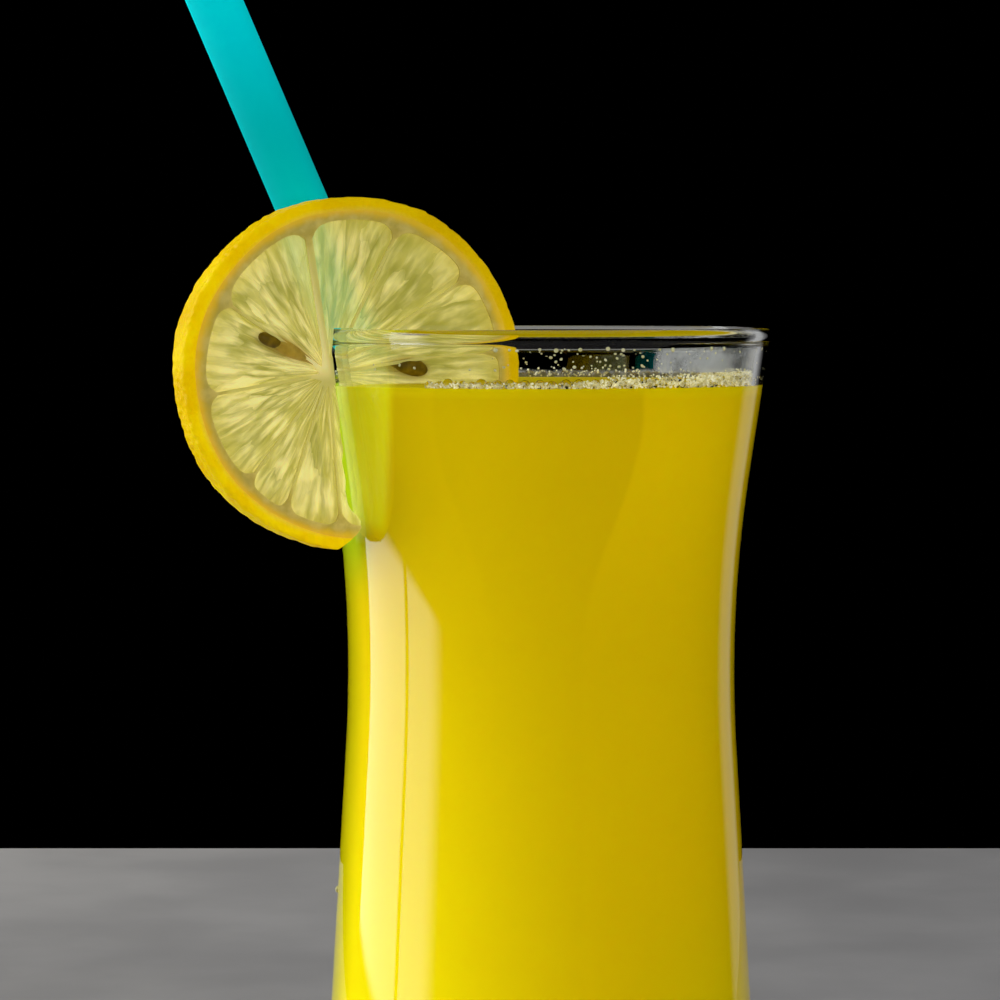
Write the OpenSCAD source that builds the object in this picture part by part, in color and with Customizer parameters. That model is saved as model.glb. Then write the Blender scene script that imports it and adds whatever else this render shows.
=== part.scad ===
// Glass of lemonade: a waisted tumbler with a beaded rim, filled almost to the top, with a wide
// drinking straw that leans across it and a slice of lemon hung on the rim by a slit.
// Millimetres. The origin is the middle of the underside of the glass, on its axis. +Z is up,
// -Y is the front, and the straw leans towards -X.

/* [Glass] */
// Height of the glass, from the underside to the top of the rim
glass_h = 155; // [128:1:200]
// Outer diameter of the bead that ends the rim
rim_d = 78; // [72:0.5:100]
// Outer diameter of the waist, the narrowest part
waist_d = 65.7; // [54:0.1:69]
// Height of the waist above the underside
waist_h = 97.4; // [80:0.2:117]
// Outer diameter of the wall where it meets the rounded foot
foot_d = 76; // [70:0.5:92]
// Radius of the long curve that the wall follows through the waist
waist_curve_r = 226; // [80:1:260]
// Thickness of the wall
wall = 1.9; // [1.5:0.1:2.3]
// Thickness of the heavy floor
floor_t = 12; // [6:0.5:24]
// Thickness of the round bead at the rim
bead_d = 2.6; // [2.4:0.1:4]
// How far the bead stands out from the wall below it
bead_lip = 0.3; // [0.1:0.05:0.5]
// Rounding of the outer edge of the foot
foot_round = 4; // [2:0.5:8]
// Rounding inside, where the floor meets the wall
floor_round = 6; // [3:0.5:10]

/* [Lemonade] */
// Depth of the surface of the drink below the top of the rim
fill_drop = 9; // [5:0.5:60]

/* [Straw] */
// Outer diameter of the straw
straw_d = 9.1; // [6:0.1:11]
// Thickness of the wall of the straw
straw_wall = 0.4; // [0.3:0.05:0.8]
// Length of the straw
straw_l = 235; // [200:1:290]
// Room between the foot of the straw and the wall it stands against
straw_foot_room = 1.7; // [1.5:0.1:6]

/* [Lemon slice] */
// Width of the slice, across the rim of the glass
slice_w = 60.7; // [50:0.1:76]
// Height of the slice
slice_h = 58.4; // [48:0.1:73]
// Thickness of the slice
slice_t = 5.5; // [3.5:0.1:7]
// Depth of the middle of the slice below the top of the rim
slice_drop = 7.3; // [3:0.1:12]
// How far the middle of the slice lies inside the rim
slice_in = 2.2; // [0:0.1:6]
// Turn of the slice about the axis of the glass, from the -X side towards the front
slice_turn = 26; // [15:1:60]
// Thickness of the rind and pith together
rind_t = 4.2; // [3:0.1:6]
// How far the core lies outward from the middle of the slice
core_offset = 4.8; // [0:0.1:6]
// Radius of the core, where the segments begin
core_r = 1.6; // [1:0.1:3]
// Thickness of the skin between two segments
skin_t = 0.9; // [0.6:0.1:1.5]
// Depth of the pulp below the cut faces of the skins and pith
pulp_dip = 0.3; // [0.1:0.1:0.6]
// Height of the unevenness of the outline
unevenness = 0.3; // [0:0.1:0.6]

/* [Fits] */
// Gap that the straw and the slice keep where they rest on the glass
rest_gap = 0.15; // [0.1:0.05:0.5]
// Room in the slit between the slice and the inside of the glass
slit_room_in = 0.5; // [0.4:0.05:1]
// Room in the slit between the slice and the outside of the wall
slit_room_out = 1.4; // [0.5:0.1:2.5]
// Room in the slit between the slice and the outside of the rim bead
slit_room_rim = 0.4; // [0.4:0.1:2.5]
// Room between the straw and the slice
straw_slice_room = 0.3; // [0.3:0.1:2]

/* [Hidden] */

// Points along the curve of the waist, round a rounded edge and round the slice
CURVE_STEPS = 24;
EDGE_STEPS = 8;
OUTLINE_STEPS = 90;
ARC_STEPS = 7;
// Points down each face of the slit
SLIT_STEPS = 6;
// Directions of the skins between the segments, as seen from the core
SKIN_ANGLES = [33, 81, 118, 148, 172, 199, 230, 265, 289, 309, 351];
// A tangent to the waist curve needs an end that lies clearly outside its circle
CURVE_SHARE = 0.97;
// Cuts reach this far past what they cut
OVER = 5;

// Rim bead: the middle of its round section
bead_h = glass_h - bead_d / 2;
bead_ring_r = rim_d / 2 - bead_d / 2;
drink_h = glass_h - fill_drop;

// Wall: a curve through the waist, with a straight taper tangent to it up to the rim and one
// down to the foot. reach is the height of a taper's end from the waist and rise is how much
// wider the wall is there.
rim_reach = bead_h - waist_h;
rim_rise = rim_d / 2 - bead_lip - waist_d / 2;
foot_reach = waist_h - foot_round;
foot_rise = (foot_d - waist_d) / 2;

function curve_r(reach, rise) =
    min(waist_curve_r, CURVE_SHARE * (reach * reach + rise * rise) / (2 * rise));

function taper_angle(reach, rise) =
    let (r = curve_r(reach, rise), across = r - rise)
    atan2(reach, across) - acos(r / norm([reach, across]));

function curve_end(reach, rise) = curve_r(reach, rise) * sin(taper_angle(reach, rise));

function flare(h, reach, rise) =
    let (r = curve_r(reach, rise), a = taper_angle(reach, rise))
    h < r * sin(a)
        ? r - sqrt(r * r - h * h)
        : r * (1 - cos(a)) + (h - r * sin(a)) * tan(a);

// Outer radius of the wall at height z
function wall_r(z) = waist_d / 2
    + (z > waist_h ? flare(z - waist_h, rim_reach, rim_rise) : flare(waist_h - z, foot_reach, foot_rise));

// Heights at which the wall bends
curve_low = waist_h - curve_end(foot_reach, foot_rise);
curve_high = waist_h + curve_end(rim_reach, rim_rise);
wall_bends = [for (i = [0:CURVE_STEPS]) curve_low + (curve_high - curve_low) * i / CURVE_STEPS];

// A wall face from height low to height high, set in from the outside of the glass
function wall_face(low, high, inset) = [
    for (z = concat([low], [for (b = wall_bends) if (b > low && b < high) b], [high]))
        [wall_r(z) - inset, z]
];

// A rounded edge that starts flat at height z and ends upright at radius r
function round_edge(r, z, rounding) = [
    for (i = [0:EDGE_STEPS - 1])
        let (a = -90 + 90 * i / EDGE_STEPS)
        [r - rounding + rounding * cos(a), z + rounding + rounding * sin(a)]
];

// Inside of the glass from the middle of its floor up to height top
inner_low = floor_t + floor_round;
function inside_to(top) = concat(
    [[0, floor_t]],
    round_edge(wall_r(inner_low) - wall, floor_t, floor_round),
    wall_face(inner_low, top, wall)
);

function reversed(list) = [for (i = [len(list) - 1:-1:0]) list[i]];

// Straw: its lower side touches the rim bead and runs down to the floor on the far side
straw_foot_x = wall_r(inner_low) - wall - straw_foot_room - straw_d;
straw_foot_z = floor_t + rest_gap;
straw_run = [straw_foot_x + bead_ring_r, bead_h - straw_foot_z];
straw_lean = atan2(straw_run[0], straw_run[1]) - asin((bead_d / 2 + rest_gap) / norm(straw_run));
straw_r = straw_d / 2;

// Middle of the slice, and the lowest height that the slice reaches
slice_mid_z = glass_h - slice_drop;
slice_mid_r = bead_ring_r - slice_in;
slice_low = slice_mid_z - slice_h / 2 - unevenness;

// Turn of the straw's plane past the slice's plane that keeps the two apart at that height
straw_in_r = (slice_low - straw_foot_z) * tan(straw_lean) - straw_foot_x - straw_r / cos(straw_lean);
straw_apart = asin((slice_t / 2 + straw_slice_room + straw_r) / straw_in_r);
straw_turn = straw_apart - slice_turn;

// Seat of the slice on the rim. Below the bead the two faces of its slit follow the wall.
seat_z = glass_h + rest_gap;
slit_high = bead_h - bead_d;
slit_low = slice_low - OVER;
slit_heights = [for (i = [0:SLIT_STEPS]) slit_high + (slice_low - slit_high) * i / SLIT_STEPS];
slit = concat(
    [[bead_ring_r - bead_d / 2 - slit_room_in, seat_z]],
    [for (z = slit_heights) [wall_r(z) - wall - slit_room_in, z]],
    [[wall_r(slice_low) - wall - slit_room_in, slit_low]],
    [[wall_r(slice_low) + slit_room_out, slit_low]],
    [for (z = reversed(slit_heights)) [wall_r(z) + slit_room_out, z]],
    [[rim_d / 2 + slit_room_rim, seat_z]]
);

// Outline of the slice at angle a, seen from its middle, and drawn in by inset
function wobble(a) = unevenness * (0.6 * sin(3 * a + 40) + 0.4 * sin(7 * a));
function outline(a, inset) = [
    (slice_w / 2 + wobble(a) - inset) * cos(a),
    (slice_h / 2 + wobble(a) - inset) * sin(a)
];

// Skins leave the core at uneven angles, and a segment lies between each two
segments = len(SKIN_ANGLES);
function skin_angle(i) = SKIN_ANGLES[i % segments] + (i < segments ? 0 : 360);

// A point of the pulp's edge, where a line from the core at angle a meets the pith. The core lies
// off the middle, so the line is carried to the outline by its distance along it.
pulp_w = slice_w / 2 - unevenness - rind_t;
pulp_h = slice_h / 2 - unevenness - rind_t;
function to_pith(a) =
    let (
        d = [cos(a) / pulp_w, sin(a) / pulp_h],
        c = [core_offset / pulp_w, 0],
        along = d * c,
        size = d * d
    )
    (sqrt(along * along - size * (c * c - 1)) - along) / size;

// One segment between two skins: a corner near the core and an arc along the pith
function segment(i) =
    let (
        a0 = skin_angle(i),
        a1 = skin_angle(i + 1),
        mid = (a0 + a1) / 2,
        apex = core_r + skin_t / 2 / sin((a1 - a0) / 2)
    )
    concat(
        [[apex * cos(mid), apex * sin(mid)]],
        [
            for (k = [0:ARC_STEPS])
                let (
                    a = a0 + (a1 - a0) * k / ARC_STEPS,
                    edge = skin_t / 2 * (1 - 2 * k / ARC_STEPS),
                    r = to_pith(a)
                )
                [r * cos(a) - edge * sin(a), r * sin(a) + edge * cos(a)]
        ]
    );

// Solid of revolution up to the wall's top, and the round bead that closes it
module glass() {
    color([0.86, 0.93, 0.95, 0.45]) {
        rotate_extrude($fn = 128)
            polygon(concat(
                [[0, 0]],
                round_edge(wall_r(foot_round), 0, foot_round),
                wall_face(foot_round, bead_h, 0),
                reversed(inside_to(bead_h))
            ));
        rotate_extrude($fn = 128)
            translate([bead_ring_r, bead_h])
                circle(d = bead_d, $fn = 32);
    }
}

// Everything inside the glass up to the level of the drink, cut round the straw and the slice
module lemonade() {
    color([0.86, 0.76, 0.02])
        difference() {
            rotate_extrude($fn = 128)
                polygon(concat(inside_to(drink_h), [[0, drink_h]]));
            straw();
            lemon_slice();
        }
}

// A square-cut tube, open at both ends. Its lowest edge stands on the floor of the glass.
module straw() {
    color([0, 0.74, 0.8])
        rotate([0, 0, -straw_turn])
            translate([straw_foot_x, 0, straw_foot_z])
                rotate([0, -straw_lean, 0])
                    translate([straw_r, 0, 0])
                        difference() {
                            cylinder(d = straw_d, h = straw_l, $fn = 64);
                            translate([0, 0, -OVER])
                                cylinder(d = straw_d - 2 * straw_wall, h = straw_l + 2 * OVER, $fn = 64);
                        }
}

// A round slice through the lemon with its segments slightly sunk, and the slit cut up from its edge
module lemon_slice() {
    color([0.93, 0.82, 0.3])
        rotate([0, 0, 180 + slice_turn])
            rotate([90, 0, 0])
                difference() {
                    translate([slice_mid_r, slice_mid_z])
                        linear_extrude(slice_t, center = true)
                            polygon([for (i = [0:OUTLINE_STEPS - 1]) outline(360 * i / OUTLINE_STEPS, 0)]);
                    for (side = [-1, 1], i = [0:segments - 1])
                        translate([slice_mid_r + core_offset, slice_mid_z, side * slice_t / 2])
                            linear_extrude(2 * pulp_dip, center = true)
                                polygon(segment(i));
                    linear_extrude(slice_t + OVER, center = true)
                        polygon(slit);
                }
}

glass();
lemonade();
straw();
lemon_slice();
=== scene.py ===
import math
import random

import bpy
from mathutils import Matrix, Vector, noise


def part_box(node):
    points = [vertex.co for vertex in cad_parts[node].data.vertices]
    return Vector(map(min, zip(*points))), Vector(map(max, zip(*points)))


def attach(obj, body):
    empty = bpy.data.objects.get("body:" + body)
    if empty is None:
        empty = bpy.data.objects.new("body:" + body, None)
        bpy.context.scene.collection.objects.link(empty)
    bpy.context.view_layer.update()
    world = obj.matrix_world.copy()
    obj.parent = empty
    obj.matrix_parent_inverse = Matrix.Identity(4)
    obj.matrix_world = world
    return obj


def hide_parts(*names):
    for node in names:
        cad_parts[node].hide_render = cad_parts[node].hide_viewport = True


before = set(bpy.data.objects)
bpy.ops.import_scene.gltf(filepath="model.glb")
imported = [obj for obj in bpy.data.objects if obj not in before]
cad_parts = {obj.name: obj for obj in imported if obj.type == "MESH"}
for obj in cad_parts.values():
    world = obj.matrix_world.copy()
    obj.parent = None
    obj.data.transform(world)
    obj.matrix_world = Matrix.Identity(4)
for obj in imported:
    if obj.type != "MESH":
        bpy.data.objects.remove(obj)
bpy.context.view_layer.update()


# ---------------------------------------------------------------------------------------------
# Camera: just above the rim, a little to the left of the glass and tipped down very slightly, so
# that the rim is seen nearly edge-on, the straw runs out at the top and the foot is out of view.
mm = 0.001
glass_low, glass_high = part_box("glass")
seen_width = 169.9 * mm
seen_middle = Vector((-7.0 * mm, 0, glass_high.z - 29.25 * mm))
eye = Vector((seen_middle.x, -620 * mm, glass_high.z + 6.5 * mm))
to_glass = seen_middle - eye
bpy.ops.object.camera_add(location=eye, rotation=to_glass.to_track_quat("-Z", "Y").to_euler())
camera = bpy.context.object
camera.data.lens = camera.data.sensor_width * to_glass.length / seen_width
camera.data.clip_start = 10 * mm
bpy.context.scene.camera = camera
bpy.context.scene.view_settings.view_transform = "Standard"


# ---------------------------------------------------------------------------------------------
# Stage: a pale grey table top with a softly worn lacquer, in a dark room. Two tall soft boxes
# stand side by side a metre off on the left and a dim one behind on the right. They are mirrored
# in the glass; the three lamps that fill in are not.
class Wire:
    """An output of a shader node. Sums, products and powers of wires and numbers add Math nodes."""

    def __init__(self, finish, socket):
        self.finish, self.socket = finish, socket

    def maths(self, operation, *values):
        return self.finish.node("ShaderNodeMath", {"operation": operation}, dict(enumerate(values)))

    def __add__(self, other):
        return self.maths("ADD", self, other)

    def __sub__(self, other):
        return self.maths("SUBTRACT", self, other)

    def __rsub__(self, other):
        return self.maths("SUBTRACT", other, self)

    def __mul__(self, other):
        return self.maths("MULTIPLY", self, other)

    def __truediv__(self, other):
        return self.maths("DIVIDE", self, other)

    def __pow__(self, other):
        return self.maths("POWER", self, other)

    def __abs__(self):
        return self.maths("ABSOLUTE", self)

    __radd__, __rmul__ = __add__, __mul__

    def rise(self, low, high):
        """0 at low, 1 at high and a soft step between. With high below low it falls instead."""
        if high < low:
            return 1 - self.rise(high, low)
        settings = {"interpolation_type": "SMOOTHSTEP"}
        return self.finish.node(
            "ShaderNodeMapRange", settings, {"Value": self, "From Min": low, "From Max": high}
        )


class Finish:
    """The node tree of a material or a lamp, whose nodes are added one call at a time."""

    def __init__(self, owner):
        owner.use_nodes = True
        self.owner, self.tree = owner, owner.node_tree
        self.tree.nodes.clear()

    def plug(self, socket, value):
        if isinstance(value, Wire):
            self.tree.links.new(value.socket, socket)
        elif isinstance(value, tuple) and socket.type == "RGBA":
            socket.default_value = (*value, 1.0)
        else:
            socket.default_value = value

    def node(self, kind, settings=None, inputs=None, out=0):
        node = self.tree.nodes.new(kind)
        for key, value in (settings or {}).items():
            setattr(node, key, value)
        for key, value in (inputs or {}).items():
            self.plug(node.inputs[key], value)
        return Wire(self, node.outputs[out])

    def mix(self, share, first, second):
        """A blend of two colours."""
        return self.node("ShaderNodeMix", {"data_type": "RGBA"}, {0: share, 6: first, 7: second}, out=2)

    def place(self):
        return self.node("ShaderNodeTexCoord", out="Object")

    def along(self, direction):
        """How far a point of the piece lies along a direction."""
        return self.node(
            "ShaderNodeVectorMath", {"operation": "DOT_PRODUCT"}, {0: self.place(), 1: direction}, out="Value"
        )

    def noise(self, scale, detail=2.0, vector=None, out=0, **more):
        inputs = {"Vector": vector or self.place(), "Scale": scale, "Detail": detail}
        return self.node("ShaderNodeTexNoise", {}, inputs | more, out)

    def bump(self, height, distance, strength=1.0):
        return self.node("ShaderNodeBump", {}, {"Height": height, "Distance": distance, "Strength": strength})

    def skin(self, **inputs):
        """A Principled shader. Socket names are written with underscores for spaces."""
        named = {key.replace("_", " "): value for key, value in inputs.items()}
        return self.node("ShaderNodeBsdfPrincipled", {}, named)

    def show(self, shader, kind="ShaderNodeOutputMaterial"):
        self.node_out = self.tree.nodes.new(kind)
        self.plug(self.node_out.inputs["Surface"], shader)
        return self.owner


def new_finish(name):
    return Finish(bpy.data.materials.new(name))


def lacquer_finish():
    finish = new_finish("pale_lacquer")
    worn = finish.noise(18, 4)
    colour = finish.mix(worn.rise(0.3, 0.7), (0.36, 0.36, 0.38), (0.43, 0.43, 0.45))
    return finish.show(finish.skin(Base_Color=colour, Roughness=0.45 + worn * 0.2, Specular_IOR_Level=0.2))


table_x, table_front, table_back = 240 * mm, -260 * mm, 430 * mm
bpy.ops.mesh.primitive_cube_add(
    size=1,
    location=(0, (table_front + table_back) / 2, -10 * mm),
    scale=(2 * table_x, table_back - table_front, 20 * mm),
)
table = bpy.context.object
table.name = "floor"
bpy.ops.object.transform_apply(location=True, rotation=True, scale=True)
table.data.materials.append(lacquer_finish())


def soft_light(
    name, place, aim, size, watts, soft=(0.15, 0.15), colour=(1, 1, 1), mirrored=True, diffuse=True
):
    """A soft box at place that faces the point aim. soft is how far it fades at its two upright edges."""
    bpy.ops.object.light_add(type="AREA", location=place)
    light = bpy.context.object
    light.name = name
    light.rotation_euler = (Vector(aim) - Vector(place)).to_track_quat("-Z", "Y").to_euler()
    light.data.shape = "RECTANGLE"
    light.data.size, light.data.size_y = size
    light.data.energy, light.data.color = watts, colour
    light.visible_camera = False
    light.visible_glossy = light.visible_transmission = mirrored
    light.visible_diffuse = diffuse
    finish = Finish(light.data)
    across = finish.tree.nodes.new("ShaderNodeSeparateXYZ")
    spot = finish.tree.nodes.new("ShaderNodeNewGeometry").outputs["Parametric"]
    finish.tree.links.new(spot, across.inputs[0])
    width, height = Wire(finish, across.outputs["X"]), Wire(finish, across.outputs["Y"])
    glow = width.rise(0, soft[0]) * width.rise(1, 1 - soft[1]) * height.rise(0, 0.012) * height.rise(1, 0.988)
    finish.show(finish.node("ShaderNodeEmission", {}, {"Strength": glow}), "ShaderNodeOutputLight")
    return light


soft_light("left_box_front", (-1, -0.36, 0.54), (0, -0.36, 0.54), (0.52, 1.25), 5.0, (0.02, 0.5))
soft_light("left_box_back", (-1, 0.262, 0.54), (0, 0.262, 0.54), (0.675, 1.25), 7.2, (0.02, 0.04))
soft_light("right_strip", (0.53, 0.6, 0.25), (0, 0, 0.25), (0.4, 0.8), 0.38, (0.3, 0.3))
soft_light(
    "back_glow", (-0.5, 0.6, 0.3), (-0.03, 0, 0.15), (0.4, 0.5), 2.8, colour=(1, 0.95, 0.8), mirrored=False
)
soft_light("front_fill", (0.5, -0.85, 0.4), (0, 0, 0.1), (0.6, 0.6), 6.4, mirrored=False)
soft_light("top_fill", (0, 0.3, 1.1), (0, 0, 0.1), (0.8, 0.8), 1.0, mirrored=False)

room = bpy.data.worlds.new("dark_room")
room.use_nodes = True
room.node_tree.nodes["Background"].inputs["Color"].default_value = (0, 0, 0, 1)
bpy.context.scene.world = room


# ---------------------------------------------------------------------------------------------
# Tumbler: blown clear glass, turned about its own axis. A long curve through the waist runs
# into straight tapers, the rim is melted to a round bead and the floor is thick and heavy.
rim_r, glass_h = glass_high.x, glass_high.z
waist_r, waist_h, waist_curve_r = 32.85 * mm, 97.4 * mm, 226 * mm
foot_r, foot_round = 38 * mm, 4 * mm
wall, floor_t, floor_round = 1.9 * mm, 12 * mm, 6 * mm
bead_r, bead_lip = 1.3 * mm, 0.3 * mm
bead_h, bead_ring_r = glass_h - bead_r, rim_r - bead_r


def flare(h, reach, rise):
    """How much wider the wall is at distance h from the waist: a curve and a tangent to its end."""
    across = waist_curve_r - rise
    lean = math.atan2(reach, across) - math.acos(waist_curve_r / math.hypot(reach, across))
    bend = waist_curve_r * math.sin(lean)
    if h < bend:
        return waist_curve_r - math.sqrt(waist_curve_r**2 - h**2)
    return waist_curve_r * (1 - math.cos(lean)) + (h - bend) * math.tan(lean)


def wall_r(z):
    """Outer radius of the wall at height z."""
    if z > waist_h:
        return waist_r + flare(z - waist_h, bead_h - waist_h, rim_r - bead_lip - waist_r)
    return waist_r + flare(waist_h - z, waist_h - foot_round, foot_r - waist_r)


def wall_face(low, high, inset, steps=70):
    heights = [low + (high - low) * i / steps for i in range(steps + 1)]
    return [(wall_r(z) - inset, z) for z in heights]


def arc(middle, radius, start, end, steps):
    """Points on an arc in the (radius, height) plane, its angles in degrees."""
    turns = [math.radians(start + (end - start) * i / steps) for i in range(steps + 1)]
    return [(middle[0] + radius * math.cos(a), middle[1] + radius * math.sin(a)) for a in turns]


def new_piece(name, add, **options):
    """Adds a primitive with nothing else selected and names it."""
    bpy.ops.object.select_all(action="DESELECT")
    add(**options)
    piece = bpy.context.object
    piece.name = piece.data.name = name
    return piece


def turned(name, outline, steps=192):
    """Draws the outline by extruding one point along it, and spins it about the axis of the glass."""
    first = (outline[0][0], 0, outline[0][1])
    piece = new_piece(name, bpy.ops.mesh.primitive_plane_add, size=mm, location=first)
    bpy.ops.object.mode_set(mode="EDIT")
    bpy.ops.mesh.merge(type="CENTER")
    for (r0, z0), (r1, z1) in zip(outline, outline[1:]):
        step = (r1 - r0, 0, z1 - z0)
        bpy.ops.mesh.extrude_region_move(TRANSFORM_OT_translate={"value": step})
    bpy.ops.mesh.select_all(action="SELECT")
    bpy.ops.mesh.spin(steps=steps, angle=2 * math.pi, center=(0, 0, 0), axis=(0, 0, 1))
    bpy.ops.mesh.select_all(action="SELECT")
    bpy.ops.mesh.remove_doubles(threshold=0.002 * mm)
    bpy.ops.mesh.normals_make_consistent(inside=False)
    bpy.ops.object.mode_set(mode="OBJECT")
    bpy.ops.object.transform_apply(location=True, rotation=True, scale=True)
    bpy.ops.object.shade_smooth()
    return piece


def glass_finish():
    """Clear glass with faint smears. Lamps and soft light reach what is behind it."""
    finish = new_finish("clear_glass")
    smears = finish.noise(60, 3).rise(0.45, 0.8)
    body = finish.skin(
        Base_Color=(0.98, 1.0, 0.99),
        Roughness=smears * 0.025,
        IOR=1.5,
        Transmission_Weight=1.0,
        Normal=finish.bump(finish.noise(30, 1), 0.04 * mm),
    )
    clear = finish.node("ShaderNodeBsdfTransparent", inputs={"Color": (0.94, 0.96, 0.95)})
    shaded = finish.node("ShaderNodeLightPath", out="Is Shadow Ray")
    return finish.show(finish.node("ShaderNodeMixShader", inputs={0: shaded, 1: body, 2: clear}))


inside_low = floor_t + floor_round
inside_r = wall_r(inside_low) - wall
floor_edge = arc((inside_r - floor_round, inside_low), floor_round, -90, 0, 10)
foot_edge = arc((foot_r - foot_round, foot_round), foot_round, -90, 0, 10)
tumbler = turned(
    "tumbler",
    [(0, 0)]
    + foot_edge
    + wall_face(foot_round, bead_h - 1.05 * mm, 0)[1:]
    + arc((bead_ring_r, bead_h), bead_r, -38, 222, 22)
    + wall_face(inside_low, bead_h - 1.3 * mm, wall)[:0:-1]
    + floor_edge[::-1]
    + [(0, floor_t)],
)
tumbler.data.materials.append(glass_finish())
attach(tumbler, "root")
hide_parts("glass")


# ---------------------------------------------------------------------------------------------
# Lemonade: cloudy and opaque, so it is one solid, poured to just below the rim. It reaches a
# little into the wall, so that no air shows. Its finish is drifting juice with painted light and
# shade at fixed places, painted colours of the straw and slice showing through, and a painted glow.
drink_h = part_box("lemonade")[1].z
wall_reach = 0.25 * mm
slice_turn = math.radians(26)
outward = (-math.cos(slice_turn), -math.sin(slice_turn), 0)
sideways = (math.sin(slice_turn), -math.cos(slice_turn), 0)


def lemonade_finish():
    finish = new_finish("lemonade")
    clouds = finish.noise(26, 4, Distortion=1.2)
    x, y, z = (finish.along(axis) for axis in ((1, 0, 0), (0, 1, 0), (0, 0, 1)))
    # Painted light: the drink is paler to the left and towards the foot.
    painted_lit_side = x.rise(22 * mm, -34 * mm) * (0.25 + z.rise(130 * mm, 20 * mm) * 0.75)
    colour = finish.mix(painted_lit_side, (0.80, 0.575, 0.001), (0.93, 0.84, 0.003))
    colour = finish.mix(clouds.rise(0.35, 0.75) * 0.3, colour, (0.86, 0.64, 0.002))
    # Painted shade: the drink is darker and greener low on the right.
    low_right_painted_shade = x.rise(6 * mm, 30 * mm) * z.rise(70 * mm, 35 * mm)
    colour = finish.mix(low_right_painted_shade * 0.7, colour, (0.72, 0.62, 0.001))
    # Painted light and shade: a darker funnel down the middle, with paler drink painted to either side of it.
    painted_shade_funnel_width = z.rise(104 * mm, 142 * mm) * 9.5 * mm + 7.5 * mm
    painted_light_by_funnel = (abs(x + 0.8 * mm) - painted_shade_funnel_width + clouds * 0.8 * mm).rise(-0.5 * mm, 0.6 * mm)
    painted_light_by_funnel = painted_light_by_funnel * (0.12 + z.rise(100 * mm, 140 * mm) * 0.88) * (0.35 + x.rise(0, 8 * mm) * 0.65)
    colour = finish.mix(painted_light_by_funnel * 0.55, colour, (1.0, 0.74, 0.001))
    # Painted shade: a dull, darker edge on the far left.
    far_left_painted_shade = (x / (x * x + y * y) ** 0.5).rise(-0.9, -0.995)
    colour = finish.mix(far_left_painted_shade * 0.8, colour, (0.42, 0.40, 0.001))
    from_slice, out = finish.along(sideways), finish.along(outward)
    near_wall = out.rise(22 * mm, 30 * mm) * z.rise(108 * mm, 122 * mm)
    # Painted light: a paler, brighter patch on the drink next to the slice.
    painted_light_by_slice = (
        (x - z * 0.04).rise(-29 * mm, -31 * mm) * z.rise(120 * mm, 124 * mm) * y.rise(4 * mm, -6 * mm)
    )
    colour = finish.mix(painted_light_by_slice * 0.8, colour, (0.98, 0.90, 0.004))
    # Painted: the straw's green, as if seen through the drink where the straw stands close to the wall.
    painted_straw_shine = near_wall * from_slice.rise(5 * mm, -2 * mm)
    colour = finish.mix(painted_straw_shine * 0.9, colour, (0.30, 0.52, 0.01))
    # Painted: the pale cut face of the slice, as if seen through the drink close to the wall.
    painted_cut_face_shine = (
        abs(from_slice - 0.6 * mm + clouds * 1.5 * mm).rise(2.4 * mm, 1.6 * mm) * z.rise(119 * mm, 122 * mm)
    )
    colour = finish.mix(near_wall * painted_cut_face_shine * 0.8, colour, (0.74, 0.82, 0.26))
    # Painted glow: the drink glows in its own colours, more on its painted lit side and next to the slice.
    glow = finish.mix(painted_lit_side, (0.25, 0.18, 0.0), (1.0, 0.80, 0.0))
    glow = finish.mix(painted_light_by_slice * 0.8, glow, (1.0, 1.0, 0.0))
    return finish.show(
        finish.skin(
            Base_Color=colour,
            Roughness=0.3 + clouds * 0.1,
            IOR=1.34,
            Specular_IOR_Level=0.02,
            Subsurface_Weight=0.5,
            Subsurface_Radius=(1.0, 0.7, 0.05),
            Subsurface_Scale=6 * mm,
            # The emission is a painted glow; the drink is no lamp.
            Emission_Color=glow,
            Emission_Strength=0.2,
            Normal=finish.bump(clouds, 0.05 * mm),
        )
    )


drink_low = floor_t - wall_reach
drink_edge = arc((inside_r + wall_reach - floor_round, inside_low - wall_reach), floor_round, -90, 0, 10)
drink_wall = wall_face(inside_low - wall_reach, drink_h - 0.4 * mm, wall - wall_reach)
wall_top = drink_wall[-1]
sink = [i / 8 for i in range(1, 9)]
surface = [(wall_top[0] - t * 4 * mm, drink_h - 0.4 * mm * (1 - t) ** 2) for t in sink]
lemonade = turned(
    "cloudy_lemonade", [(0, drink_low)] + drink_edge + drink_wall[1:] + surface + [(0, drink_h)]
)
lemonade.data.materials.append(lemonade_finish())
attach(lemonade, "root")
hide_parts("lemonade")


# ---------------------------------------------------------------------------------------------
# Bubbles and foam: clear bubbles crowd against the wall at the edge of the drink, large ones in
# a row on the left and finer, denser ones to the right, bedded in grains of cream-coloured foam.
def bubble_finish():
    finish = new_finish("bubble_film")
    return finish.show(
        finish.skin(
            Base_Color=(1.0, 0.97, 0.8),
            Roughness=0.02 + finish.noise(900) * 0.04,
            IOR=1.33,
            Transmission_Weight=1.0,
        )
    )


def foam_finish():
    finish = new_finish("foam")
    grain = finish.noise(1500, 2)
    colour = finish.mix(grain.rise(0.3, 0.7), (0.78, 0.70, 0.36), (0.97, 0.93, 0.70))
    return finish.show(
        finish.skin(
            Base_Color=colour,
            Roughness=0.15 + grain * 0.2,
            # Painted glow: the foam glows a little in its own colour.
            Emission_Color=colour,
            Emission_Strength=0.25,
            Subsurface_Weight=0.4,
            Subsurface_Radius=(1.0, 0.9, 0.5),
            Subsurface_Scale=0.8 * mm,
        )
    )


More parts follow.
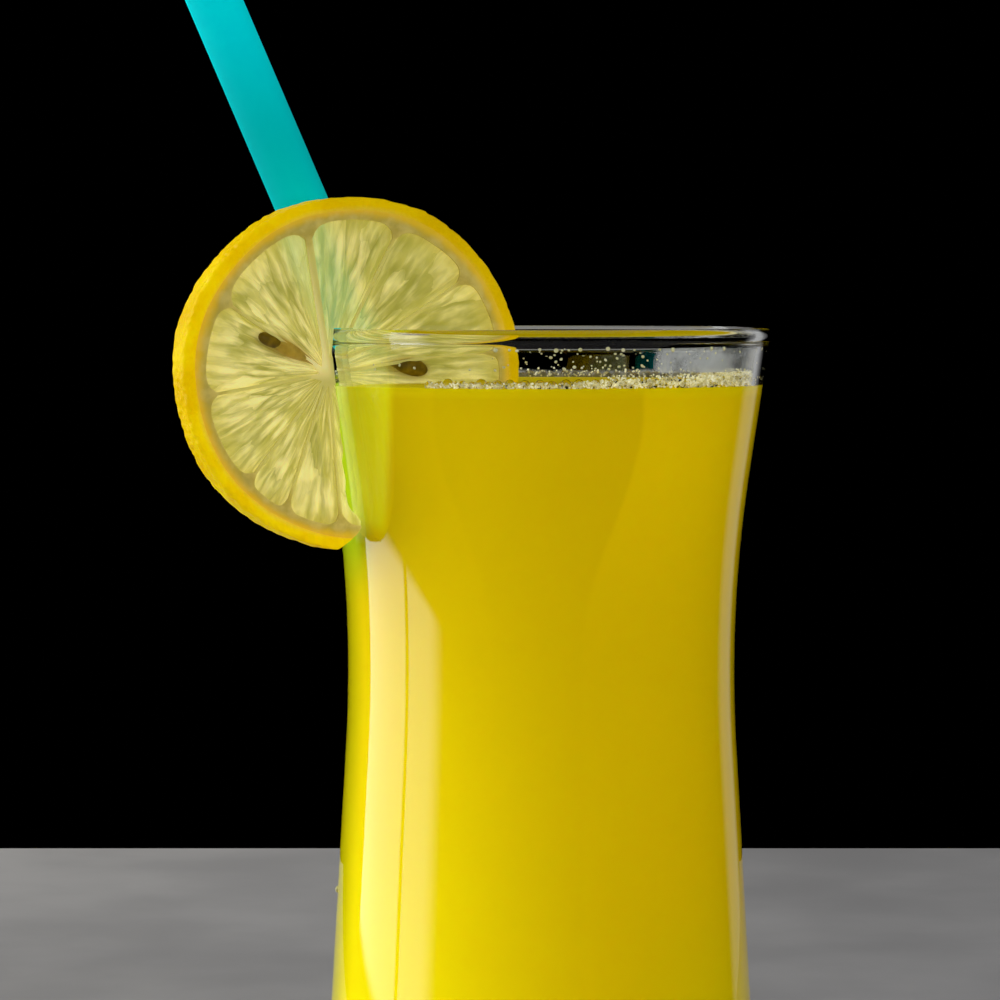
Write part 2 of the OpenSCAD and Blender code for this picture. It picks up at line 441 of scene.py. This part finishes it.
def scattered(name, model, places, finish):
    """One mesh of copies of the model, each scaled, turned and moved by its own matrix."""
    bpy.ops.object.select_all(action="DESELECT")
    copies = []
    for place in places:
        copy = model.copy()
        copy.data = model.data.copy()
        copy.data.transform(place)
        bpy.context.collection.objects.link(copy)
        copies.append(copy)
    for copy in copies:
        copy.select_set(True)
    bpy.context.view_layer.objects.active = copies[0]
    bpy.ops.object.join()
    piece = bpy.context.object
    piece.name = piece.data.name = name
    bpy.data.objects.remove(model)
    bpy.ops.object.shade_smooth()
    piece.data.materials.append(finish)
    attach(piece, "root")
    return piece


def ball(name, segments=8, rings=6):
    return new_piece(
        name, bpy.ops.mesh.primitive_uv_sphere_add, segments=segments, ring_count=rings, radius=1
    )


def on_wall(turn, inset, z):
    """A point inset from the inside of the wall, turn degrees round from the front to the right."""
    a, r = math.radians(turn), wall_r(z) - wall - inset
    return Vector((r * math.sin(a), -r * math.cos(a), z))


def squashed(size, flat, turn=0):
    """A ball's size: pressed flat by a share against the wall at a turn."""
    return Matrix.Rotation(math.radians(turn), 4, "Z") @ Matrix.Diagonal((size, size * flat, size, 1))


random.seed(4)
big_places, turn = [], -31.0
while turn < 275:
    right = 15 < turn < 110
    size = random.uniform(0.35, 0.6) * mm if right else random.uniform(0.65, 1.0) * mm
    lift = drink_h + random.uniform(0.1, 0.35) * mm if not right else drink_h + random.uniform(-0.2, 1.2) * mm
    big_places.append(Matrix.Translation(on_wall(turn, size * 0.8, lift)) @ squashed(size, 0.9, turn))
    turn += math.degrees(size / inside_r) * random.uniform(1.9, 2.9 if not right else 2.0)
for i in range(420):
    turn = random.uniform(-31, 200) if i % 4 else random.uniform(-31, 275)
    high = 1.3 if 20 < turn < 110 else 0.7
    size = random.triangular(0.14, 0.42, 0.2) * mm
    z = drink_h + random.uniform(-0.5, high) * mm
    big_places.append(
        Matrix.Translation(on_wall(turn, size * random.uniform(0.5, 3), z)) @ squashed(size, 0.9, turn)
    )
bubbles = scattered("bubbles", ball("bubble"), big_places, bubble_finish())

grain_places = []
for i in range(2600):
    turn = random.uniform(-31, 125) if i % 4 else random.uniform(-31, 275)
    dense = max(0, min(1, (turn - 8) / 12))
    if turn < 8 and random.random() < 0.35:
        continue
    size = random.uniform(0.11, 0.22) * mm
    z = drink_h + random.triangular(-0.45, 0.7 + 1.2 * dense, 0.4 * dense) * mm
    inset = size + random.uniform(0.0, 0.7) * mm
    grain_places.append(Matrix.Translation(on_wall(turn, inset, z)) @ squashed(size, 1))
foam = scattered("foam", ball("grain", 7, 5), grain_places, foam_finish())


# ---------------------------------------------------------------------------------------------
# Droplets and wet film: splashes of lemonade cling inside the wall as flat beads, in a row under
# the rim and smaller below, and one hangs outside, low on the left. Drying juice leaves a thin
# grey film just above the drink at the back and in smears on the right.
def droplet_finish():
    finish = new_finish("droplet")
    juice = finish.noise(700)
    colour = finish.mix(juice.rise(0.3, 0.7), (0.62, 0.58, 0.3), (0.85, 0.82, 0.52))
    return finish.show(
        finish.skin(
            Base_Color=colour,
            Roughness=0.05 + juice * 0.1,
            IOR=1.34,
            Subsurface_Weight=0.5,
            Subsurface_Radius=(1.0, 0.9, 0.5),
            Subsurface_Scale=0.6 * mm,
        )
    )


def film_finish():
    finish = new_finish("wet_film")
    smears = finish.noise(140, 3, Distortion=0.3)
    x, y, z = (finish.along(axis) for axis in ((1, 0, 0), (0, 1, 0), (0, 0, 1)))
    low_band = (z + smears * 1.6 * mm).rise(148.3 * mm, 147.3 * mm)
    right_side = x.rise(17.5 * mm, 19.5 * mm) * y.rise(6 * mm, -2 * mm)
    above_foam = z.rise(148 * mm, 148.3 * mm)
    cover = (
        low_band * y.rise(-4 * mm, 6 * mm) * 0.5
        + above_foam * right_side * (0.2 + smears.rise(0.4, 0.7) * 0.45)
    )
    colour = finish.mix(smears, (0.55, 0.55, 0.57), (0.9, 0.9, 0.9))
    return finish.show(
        finish.skin(
            Base_Color=colour,
            Roughness=0.25 + smears * 0.2,
            Alpha=cover,
            Normal=finish.bump(smears, 0.3 * mm),
        )
    )


film_steps = 8
film_low, film_high = drink_h - 0.3 * mm, bead_h - 1.5 * mm
film_out = wall_face(film_low, film_high, wall + 0.01 * mm, film_steps)
film_in = wall_face(film_low, film_high, wall + 0.07 * mm, film_steps)[::-1]
film = turned("wet_film", film_out + film_in + film_out[:1])
film.data.materials.append(film_finish())
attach(film, "root")

droplet_places = []
for turn in (-12, -1, 3, 9, 16, 20, 34, 47, 52, 75, 110, 150, 205, 260):
    size = random.uniform(0.26, 0.42) * mm
    z = film_high - random.uniform(0, 0.3) * mm
    droplet_places.append(Matrix.Translation(on_wall(turn, 0, z)) @ squashed(size, 0.5, turn))
for i in range(120):
    turn = random.triangular(-14, 60, 4) if i % 2 else random.uniform(-180, 180)
    size = random.triangular(0.09, 0.27, 0.13) * mm
    z = random.uniform(drink_h + 2 * mm, film_high)
    drawn = Matrix.Rotation(random.uniform(-0.9, 0.9), 4, "Y") @ Matrix.Diagonal(
        (random.uniform(1, 1.5), 1, 1, 1)
    )
    shape = Matrix.Rotation(math.radians(turn), 4, "Z") @ drawn @ Matrix.Diagonal((size, size * 0.5, size, 1))
    droplet_places.append(Matrix.Translation(on_wall(turn, 0, z)) @ shape)
outer_drop_h = 59.3 * mm
droplet_places.append(Matrix.Translation(on_wall(-88, -wall, outer_drop_h)) @ squashed(0.6 * mm, 0.7, -88))
droplets = scattered("droplets", ball("droplet", 8, 6), droplet_places, droplet_finish())


# ---------------------------------------------------------------------------------------------
# Straw: an extruded tube of satin turquoise plastic, cut square at both ends. It stands on the
# floor of the glass on the right and leans on the rim at the left.
straw_r, straw_wall, straw_l = 4.55 * mm, 0.4 * mm, 235 * mm
rest_gap = 0.15 * mm
straw_foot_x = inside_r - 1.7 * mm - 2 * straw_r
straw_run = (straw_foot_x + bead_ring_r, bead_h - floor_t - rest_gap)
straw_lean = math.atan2(*straw_run) - math.asin((bead_r + rest_gap) / math.hypot(*straw_run))
straw_turn = math.radians(2.4)


def straw_finish():
    finish = new_finish("turquoise_plastic")
    lines = finish.noise(260, 2)
    # Painted shade: the straw is darker lower down.
    low = finish.along((0, 0, 1)).rise(212 * mm, 184 * mm)
    colour = finish.mix(lines.rise(0.3, 0.7), (0.0, 0.88, 0.98), (0.0, 0.93, 1.0))
    colour = finish.mix(low, colour, (0.0, 0.60, 0.63))
    return finish.show(
        finish.skin(
            Base_Color=colour,
            Roughness=0.5 + lines * 0.1,
            Specular_IOR_Level=0.02,
            Subsurface_Weight=0.3,
            Subsurface_Radius=(0.1, 1.0, 1.0),
            Subsurface_Scale=2 * mm,
            # Painted glow: the straw glows a little in its own colour.
            Emission_Color=colour,
            Emission_Strength=0.1,
            Normal=finish.bump(lines, 0.02 * mm),
        )
    )


lip = 0.12 * mm
straw_in = straw_r - straw_wall
straw = turned(
    "drinking_straw",
    [(straw_in, lip), (straw_in + lip, 0), (straw_r - lip, 0), (straw_r, lip)]
    + [(straw_r, straw_l * i / 40) for i in range(1, 40)]
    + [
        (straw_r, straw_l - lip),
        (straw_r - lip, straw_l),
        (straw_in + lip, straw_l),
        (straw_in, straw_l - lip),
    ]
    + [(straw_in, straw_l * i / 40) for i in range(39, 0, -1)]
    + [(straw_in, lip)],
    steps=64,
)
straw.data.transform(
    Matrix.Rotation(-straw_turn, 4, "Z")
    @ Matrix.Translation((straw_foot_x, 0, floor_t + rest_gap))
    @ Matrix.Rotation(-straw_lean, 4, "Y")
    @ Matrix.Translation((straw_r, 0, 0))
)
straw.data.materials.append(straw_finish())
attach(straw, "root")
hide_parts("straw")


# ---------------------------------------------------------------------------------------------
# Lemon slice: cut across the fruit, so that its parts show: a pitted yellow rind, a band of
# pith with thin skins and the core, and the pulp between them. A slit cut up from the edge
# hangs it on the rim. It is drawn lying flat, x outward and y up, and then stood in its place.
slice_w, slice_h, slice_t = 60.7 * mm, 58.4 * mm, 5.5 * mm
slice_mid = Vector((bead_ring_r - 2.2 * mm, 0, glass_h - 7.3 * mm))
core_x = 4.8 * mm
rind_t, pith_t = 2.2 * mm, 1.7 * mm
skin_turns = [math.radians(a) for a in (33, 81, 118, 148, 172, 199, 230, 265, 289, 309, 351)]
stand_up = (
    Matrix.Rotation(math.pi + slice_turn, 4, "Z")
    @ Matrix.Translation(slice_mid)
    @ Matrix.Rotation(math.pi / 2, 4, "X")
)


def slice_rim(turn, inset):
    """A point of the slice's uneven outline, drawn in by inset, at an angle about its middle."""
    wobble = 0.3 * mm * (0.6 * math.sin(3 * turn + 0.7) + 0.4 * math.sin(7 * turn))
    w, h = slice_w / 2 + wobble - inset, slice_h / 2 + wobble - inset
    return Vector((w * math.cos(turn), h * math.sin(turn)))


def pulp_reach(turn, inset):
    """Distance from the core to the pith at an angle about the core."""
    w, h = slice_w / 2 - inset, slice_h / 2 - inset
    d = Vector((math.cos(turn) / w, math.sin(turn) / h))
    c = Vector((core_x / w, 0))
    along, size = d.dot(c), d.dot(d)
    return (math.sqrt(along * along - size * (c.dot(c) - 1)) - along) / size


def prism(name, corners, low, high):
    """An outline drawn on a disc of that many corners, extruded from height low to height high."""
    piece = new_piece(name, bpy.ops.mesh.primitive_circle_add, vertices=len(corners), fill_type="NGON")
    for vertex, (x, y) in zip(piece.data.vertices, corners):
        vertex.co = (x, y, low)
    bpy.ops.object.mode_set(mode="EDIT")
    bpy.ops.mesh.select_all(action="SELECT")
    bpy.ops.mesh.extrude_region_move(TRANSFORM_OT_translate={"value": (0, 0, high - low)})
    bpy.ops.mesh.select_all(action="SELECT")
    bpy.ops.mesh.remove_doubles(threshold=0.01 * mm)
    bpy.ops.mesh.normals_make_consistent(inside=False)
    bpy.ops.object.mode_set(mode="OBJECT")
    return piece


def carve(piece, knife):
    """Cuts the knife's shape out of the piece and throws the knife away."""
    cut = piece.modifiers.new("cut", "BOOLEAN")
    cut.operation, cut.solver, cut.object = "DIFFERENCE", "EXACT", knife
    bpy.context.view_layer.objects.active = piece
    bpy.ops.object.modifier_apply(modifier=cut.name)
    bpy.data.objects.remove(knife)


def cut_slit(piece):
    """Takes the slit out of a flat piece, along the wall of the glass and up over its rim."""
    foot = slice_mid.z - slice_h / 2 - 0.3 * mm
    high = bead_h - 2 * bead_r
    heights = [high + (foot - high) * i / 6 for i in range(7)]
    seat, low = glass_h + rest_gap, foot - 5 * mm
    corners = [(bead_ring_r - bead_r - 0.5 * mm, seat)]
    corners += [(wall_r(z) - wall - 0.5 * mm, z) for z in heights] + [(wall_r(foot) - wall - 0.5 * mm, low)]
    corners += [(wall_r(foot) + 6 * mm, low)]
    end = [(0, 5.5), (1, 4), (2, 2.4), (3, 1.1), (4, 0.35), (5, 0.25), (6, 0.8), (6.8, 1.7), (7.8, 2.2)]
    for up, room in end + [
        (10, 2.4), (12, 2.1), (15, 2.3), (17, 1.8), (20, 1.9), (23, 1.5), (26, 1.6), (33, 1.4)
    ]:
        corners.append((wall_r(foot + up * mm) + room * mm, foot + up * mm))
    corners += [(rim_r + 0.4 * mm, seat)]
    knife = prism("knife", [(x - slice_mid.x, z - slice_mid.z) for x, z in corners], -slice_t, slice_t)
    carve(piece, knife)


def place_slice(piece, finish):
    """Stands a flat piece up in its place on the rim and gives it its finish."""
    bpy.ops.object.select_all(action="DESELECT")
    piece.select_set(True)
    bpy.context.view_layer.objects.active = piece
    bpy.ops.object.shade_smooth_by_angle(angle=math.radians(45))
    piece.data.transform(stand_up)
    piece.data.materials.clear()
    piece.data.materials.append(finish)
    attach(piece, "root")


# Pulp: one rounded wedge between each two skins, a grid bent into the wedge and thickened, with
# its faces swelling between the skins. Its juice sacs run from the core to the pith.
def wedge_sides(index):
    low = skin_turns[index]
    high = skin_turns[(index + 1) % len(skin_turns)]
    return low, high + (2 * math.pi if high < low else 0)


def wedge_point(s, a, low, high, room):
    """The point at s of the way from the core to the pith and a of the way across a wedge."""
    turn = low + (high - low) * a
    side = 2 * a - 1
    thick = (0.55 if abs(turn - skin_turns[1]) < 0.2 and abs(side) > 0.5 else 0.2) * mm + room
    reach = pulp_reach(turn, rind_t + pith_t + room) * (1 - 0.08 * abs(side) ** 7)
    start = 1.3 * mm + thick / math.sin((high - low) / 2) * 0.6
    r = start + (reach - start) * s
    slip = -side * thick
    return (core_x + r * math.cos(turn) - slip * math.sin(turn), r * math.sin(turn) + slip * math.cos(turn))


def pulp_wedge(index, rows=30, columns=36):
    low, high = wedge_sides(index)
    wedge = new_piece(
        "wedge", bpy.ops.mesh.primitive_grid_add, x_subdivisions=rows, y_subdivisions=columns, size=1
    )
    places = [(v.co.x + 0.5, v.co.y + 0.5) for v in wedge.data.vertices]
    for vertex, (s, a) in zip(wedge.data.vertices, places):
        vertex.co = (*wedge_point(s, a, low, high, 0), -slice_t / 2)
    sacs = round((high - low) * 8)
    for spot in wedge.data.uv_layers.active.data:
        s, a = spot.uv
        spot.uv = (index * 9 + s * 2.8, index * 20 + a * sacs)
    bpy.ops.object.mode_set(mode="EDIT")
    bpy.ops.mesh.select_all(action="SELECT")
    bpy.ops.mesh.extrude_region_move(TRANSFORM_OT_translate={"value": (0, 0, slice_t)})
    bpy.ops.mesh.select_all(action="SELECT")
    bpy.ops.mesh.normals_make_consistent(inside=False)
    bpy.ops.object.mode_set(mode="OBJECT")
    for number, vertex in enumerate(wedge.data.vertices):
        s, a = places[number % len(places)]
        face = math.copysign(1, vertex.co.z)
        edge = min(1, 7 * a, 7 * (1 - a), 8 * (1 - s), 6 * s)
        swell = noise.noise(Vector((a * sacs * 0.6, s * 3 + index * 7, face * 5)))
        vertex.co.z = face * (
            slice_t / 2 - 0.42 * mm + 0.27 * mm * math.sin(edge * math.pi / 2) + 0.16 * mm * swell
        )
    return wedge


def from_rim(finish):
    """How far a point lies inside the outline of the slice."""
    across = (finish.along(outward) - slice_mid.x) / (slice_w / 2)
    up = (finish.along((0, 0, 1)) - slice_mid.z) / (slice_h / 2)
    return (1 - (across * across + up * up) ** 0.5) * (slice_w / 2)


def in_slice(x, y, depth, turn):
    """A place in the front face of the slice, measured from its middle."""
    return stand_up @ Matrix.Translation((x * mm, y * mm, -slice_t / 2 + depth * mm)) @ Matrix.Rotation(
        math.radians(turn), 4, "Z"
    )


def painted_straw_shine_behind(finish):
    """Where the straw stands close behind the slice. Its colour is painted there, as if it shone through."""
    x, z = finish.along((1, 0, 0)), finish.along((0, 0, 1))
    return abs(x + (z - glass_h) * 0.428 + 32.5 * mm).rise(6 * mm, 3 * mm) * z.rise(150 * mm, 156 * mm)


def pulp_finish():
    finish = new_finish("lemon_pulp")
    sacs_at = finish.node("ShaderNodeUVMap", {"uv_map": "UVMap"})
    bent = finish.noise(1.2, 2, sacs_at, out="Color")
    bent = finish.node("ShaderNodeVectorMath", {"operation": "SUBTRACT"}, {0: bent, 1: (0.5, 0.5, 0.5)})
    bent = finish.node("ShaderNodeVectorMath", {"operation": "SCALE"}, {0: bent, "Scale": 0.9})
    bent = finish.node("ShaderNodeVectorMath", {"operation": "ADD"}, {0: sacs_at, 1: bent})
    sac = finish.node(
        "ShaderNodeTexVoronoi",
        {"voronoi_dimensions": "2D", "feature": "DISTANCE_TO_EDGE"},
        {"Vector": bent, "Scale": 1.0},
    )
    shade = finish.node(
        "ShaderNodeTexVoronoi", {"voronoi_dimensions": "2D"}, {"Vector": bent, "Scale": 1.0}, "Color"
    )
    shade = finish.node("ShaderNodeSeparateColor", {}, {0: shade})
    fibre = finish.noise(
        1.0, 3, finish.node("ShaderNodeMapping", {}, {"Vector": bent, "Scale": (1.1, 2.4, 1)})
    )
    wet = finish.noise(130, 3)
    full = sac.rise(0.0, 0.4)
    light = full * 0.25 + shade * 0.3 + fibre.rise(0.3, 0.7) * 0.25 + wet.rise(0.35, 0.65) * 0.2
    light = light.rise(0.15, 0.85)
    colour = finish.mix(light, (0.44, 0.42, 0.07), (1.0, 0.90, 0.34))
    # Painted shade: the pulp is darker up and to the right, away from the lamps.
    away = finish.along((0.8, 0, 0.6)) - 90 * mm
    colour = finish.mix(away.rise(-30 * mm, 22 * mm) * 0.4, colour, (0.40, 0.37, 0.05))
    edge = from_rim(finish)
    colour = finish.mix(edge.rise(8 * mm, 4.5 * mm) * 0.5, colour, (0.66, 0.60, 0.1))
    # Painted: the straw's green on the pulp, as if it shone through.
    colour = finish.mix(painted_straw_shine_behind(finish) * 0.35, colour, (0.32, 0.60, 0.24))
    # Painted: a brown halo round each pip, as the pip would look blurred through the pulp.
    for place, spread in (
        (in_slice(13.2, 4.6, 0.5, 200), (5.6, 2.2)),
        (in_slice(-9.9, 0.9, 0.5, 8), (4.6, 2.4)),
    ):
        middle, long, wide = place.translation, place.col[0].to_3d(), place.col[1].to_3d()
        off = (finish.along(long) - middle.dot(long)) / (spread[0] * mm)
        off_wide = (finish.along(wide) - middle.dot(wide)) / (spread[1] * mm)
        painted_pip_halo = 1 - (off * off + off_wide * off_wide) ** 0.5 + fibre * 0.5
        colour = finish.mix(painted_pip_halo.rise(0.1, 0.8) * 0.75, colour, (0.30, 0.20, 0.01))
    height = full * 0.6 + fibre * 0.25 + wet * 0.15
    return finish.show(
        finish.skin(
            Base_Color=colour,
            Roughness=0.12 + fibre * 0.25,
            IOR=1.36,
            Subsurface_Weight=0.6,
            Subsurface_Radius=(1.0, 0.9, 0.25),
            Subsurface_Scale=4 * mm,
            Alpha=0.6 + light * 0.3,
            Coat_Weight=wet.rise(0.5, 0.62) * 0.8,
            Coat_Roughness=0.1,
            # Painted glow: the pulp glows in its own colour, as if lit from behind.
            Emission_Color=colour,
            Emission_Strength=0.36,
            Normal=finish.bump(height, 0.45 * mm),
        )
    )


wedges = [pulp_wedge(i) for i in range(len(skin_turns))]
bpy.ops.object.select_all(action="DESELECT")
for wedge in wedges:
    wedge.select_set(True)
bpy.context.view_layer.objects.active = wedges[0]
bpy.ops.object.join()
pulp = bpy.context.object
pulp.name = pulp.data.name = "lemon_pulp"
cut_slit(pulp)
place_slice(pulp, pulp_finish())

# Pith, skins and core: a pale spongy disc inside the rind, with a pocket cut for each wedge. The
# thin skins and the core are what is left standing between the pockets.
turns = [2 * math.pi * i / 180 for i in range(180)]
pith_top = slice_t / 2 - 0.06 * mm
pith = prism("lemon_pith", [slice_rim(t, rind_t - 0.05 * mm) for t in turns], -pith_top, pith_top)
for index in range(len(skin_turns)):
    low, high = wedge_sides(index)
    sides = (
        [(i / 12, 0) for i in range(12)]
        + [(1, i / 20) for i in range(20)]
        + [(1 - i / 12, 1) for i in range(12)]
    )
    pocket = prism("pocket", [wedge_point(s, a, low, high, 0.05 * mm) for s, a in sides], -slice_t, slice_t)
    carve(pith, pocket)


def pith_finish():
    finish = new_finish("lemon_pith")
    sponge = finish.noise(420, 4)
    colour = finish.mix(sponge.rise(0.35, 0.7), (0.46, 0.37, 0.07), (0.62, 0.51, 0.14))
    edge = from_rim(finish)
    colour = finish.mix(
        (edge + sponge * 1.5 * mm).rise(4.8 * mm, 3.0 * mm) * 0.75, colour, (0.84, 0.58, 0.01)
    )
    middle = edge.rise(5.5 * mm, 9 * mm)
    colour = finish.mix(middle * 0.9, colour, (0.66, 0.60, 0.17))
    x, z = finish.along((1, 0, 0)), finish.along((0, 0, 1))
    thick_skin = abs(x + (z - 148 * mm) * 0.2 + 36.5 * mm).rise(2.5 * mm, 1 * mm) * z.rise(146 * mm, 149 * mm)
    colour = finish.mix(thick_skin * middle, colour, (1.0, 0.86, 0.36))
    return finish.show(
        finish.skin(
            Base_Color=colour,
            Roughness=0.35 + sponge * 0.2,
            Subsurface_Weight=0.6,
            Subsurface_Radius=(1.0, 0.85, 0.4),
            Subsurface_Scale=3 * mm,
            # Painted glow: the pith glows a little in its own colour.
            Emission_Color=colour,
            Emission_Strength=0.18,
            Normal=finish.bump(sponge, 0.15 * mm),
        )
    )


cut_slit(pith)
place_slice(pith, pith_finish())

# Rind: the pitted yellow peel round the edge of the slice, with oil glands as dimples. A ring is
# turned, then each point is pushed out to the uneven outline and in again at the glands.
rows = 20
rim_curve = arc((-0.8 * mm, -slice_t / 2 + 0.8 * mm), 0.8 * mm, -90, 0, 5)
ring = (
    [(-rind_t, -slice_t / 2 + 0.06 * mm), (-rind_t * 0.7, -slice_t / 2)]
    + rim_curve
    + [(0, (-0.5 + i / rows) * (slice_t - 1.6 * mm)) for i in range(1, rows)]
    + [(x, -z) for x, z in rim_curve[::-1]]
    + [(-rind_t * 0.7, slice_t / 2), (-rind_t, slice_t / 2 - 0.06 * mm)]
)
rind = turned("lemon_rind", [(slice_w / 2 + x, z) for x, z in ring + ring[:1]], steps=720)
for vertex in rind.data.vertices:
    turn = math.atan2(vertex.co.y, vertex.co.x)
    inset = slice_w / 2 - math.hypot(vertex.co.x, vertex.co.y)
    depth = max(0, 1 - inset / (1.5 * mm))
    spot = Vector((slice_w / 2 * math.cos(turn), slice_w / 2 * math.sin(turn), vertex.co.z))
    gland = noise.voronoi(spot / (1.5 * mm))[0][0]
    swell = noise.noise(spot / (4.0 * mm)) * 0.14 * mm + noise.noise(spot / (1.9 * mm)) * 0.14 * mm
    dimple = -0.24 * mm * max(0, 1 - gland * 2.0)
    flat = slice_rim(turn, inset - (swell + dimple - 0.1 * mm) * depth)
    vertex.co = (flat.x, flat.y, vertex.co.z)


def rind_finish():
    finish = new_finish("lemon_rind")
    pores = finish.node(
        "ShaderNodeTexVoronoi", {}, {"Vector": finish.place(), "Scale": 850.0}, out="Distance"
    )
    tone = finish.noise(150, 3)
    colour = finish.mix(tone.rise(0.3, 0.7), (0.86, 0.56, 0.0), (1.0, 0.72, 0.001))
    # Painted shade: the rind is darker up and to the right, away from the lamps.
    away = finish.along((0.8, 0, 0.6)) - 90 * mm
    colour = finish.mix(away.rise(-34 * mm, 10 * mm) * 0.8, colour, (0.54, 0.355, 0.0))
    inner = (from_rim(finish) + tone * 1.5 * mm).rise(2.2 * mm, 4.2 * mm)
    colour = finish.mix(inner, colour, (0.64, 0.47, 0.06))
    return finish.show(
        finish.skin(
            Base_Color=colour,
            Roughness=0.25 + tone * 0.25,
            Specular_IOR_Level=0.06,
            Coat_Weight=pores.rise(0.3, 0.15) * tone.rise(0.5, 0.6) * 0.5,
            Coat_Roughness=0.12,
            Subsurface_Weight=0.35,
            Subsurface_Radius=(1.0, 0.7, 0.1),
            Subsurface_Scale=2 * mm,
            # Painted glow: the rind glows in its own colour.
            Emission_Color=colour,
            Emission_Strength=0.3,
            Normal=finish.bump(pores, 0.25 * mm),
        )
    )


cut_slit(rind)
place_slice(rind, rind_finish())
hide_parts("lemon_slice")


# Pips: two brown seeds in the pulp, each with a pointed end, and the amber coat that one of
# them leaves between itself and the core.
def pip_finish():
    finish = new_finish("lemon_pip")
    grain = finish.noise(800, 3)
    colour = finish.mix(grain.rise(0.3, 0.7), (0.11, 0.07, 0.003), (0.24, 0.15, 0.006))
    return finish.show(
        finish.skin(Base_Color=colour, Roughness=0.3 + grain * 0.2, Normal=finish.bump(grain, 0.05 * mm))
    )


def coat_finish():
    finish = new_finish("pip_coat")
    streak = finish.noise(350, 3)
    colour = finish.mix(streak.rise(0.35, 0.65), (0.36, 0.22, 0.005), (0.62, 0.42, 0.05))
    return finish.show(
        finish.skin(
            Base_Color=colour,
            Roughness=0.2 + streak * 0.2,
            Subsurface_Weight=0.4,
            Subsurface_Radius=(1.0, 0.7, 0.2),
            Subsurface_Scale=2 * mm,
            Alpha=0.55 + streak * 0.4,
        )
    )


def drop_shape(name, length, width, thick):
    """A seed: a ball drawn out to a rounded point at one end."""
    piece = ball(name, 24, 16)
    for vertex in piece.data.vertices:
        narrow = 1 - 0.5 * (vertex.co.x * 0.5 + 0.5) ** 1.5
        vertex.co = (
            vertex.co.x * length / 2,
            vertex.co.y * width / 2 * narrow,
            vertex.co.z * thick / 2 * narrow,
        )
    return piece


scattered(
    "lemon_pips",
    drop_shape("pip", 6.4 * mm, 2.9 * mm, 2.0 * mm),
    [in_slice(14.6, 5.2, 0.62, 200), in_slice(-9.9, 0.9, 0.75, 8) @ Matrix.Diagonal((1.25, 1.35, 1.2, 1))],
    pip_finish(),
)
scattered(
    "pip_coat",
    drop_shape("coat", 10 * mm, 3.4 * mm, 1.6 * mm),
    [in_slice(10.9, 3.4, 0.55, 205)],
    coat_finish(),
)
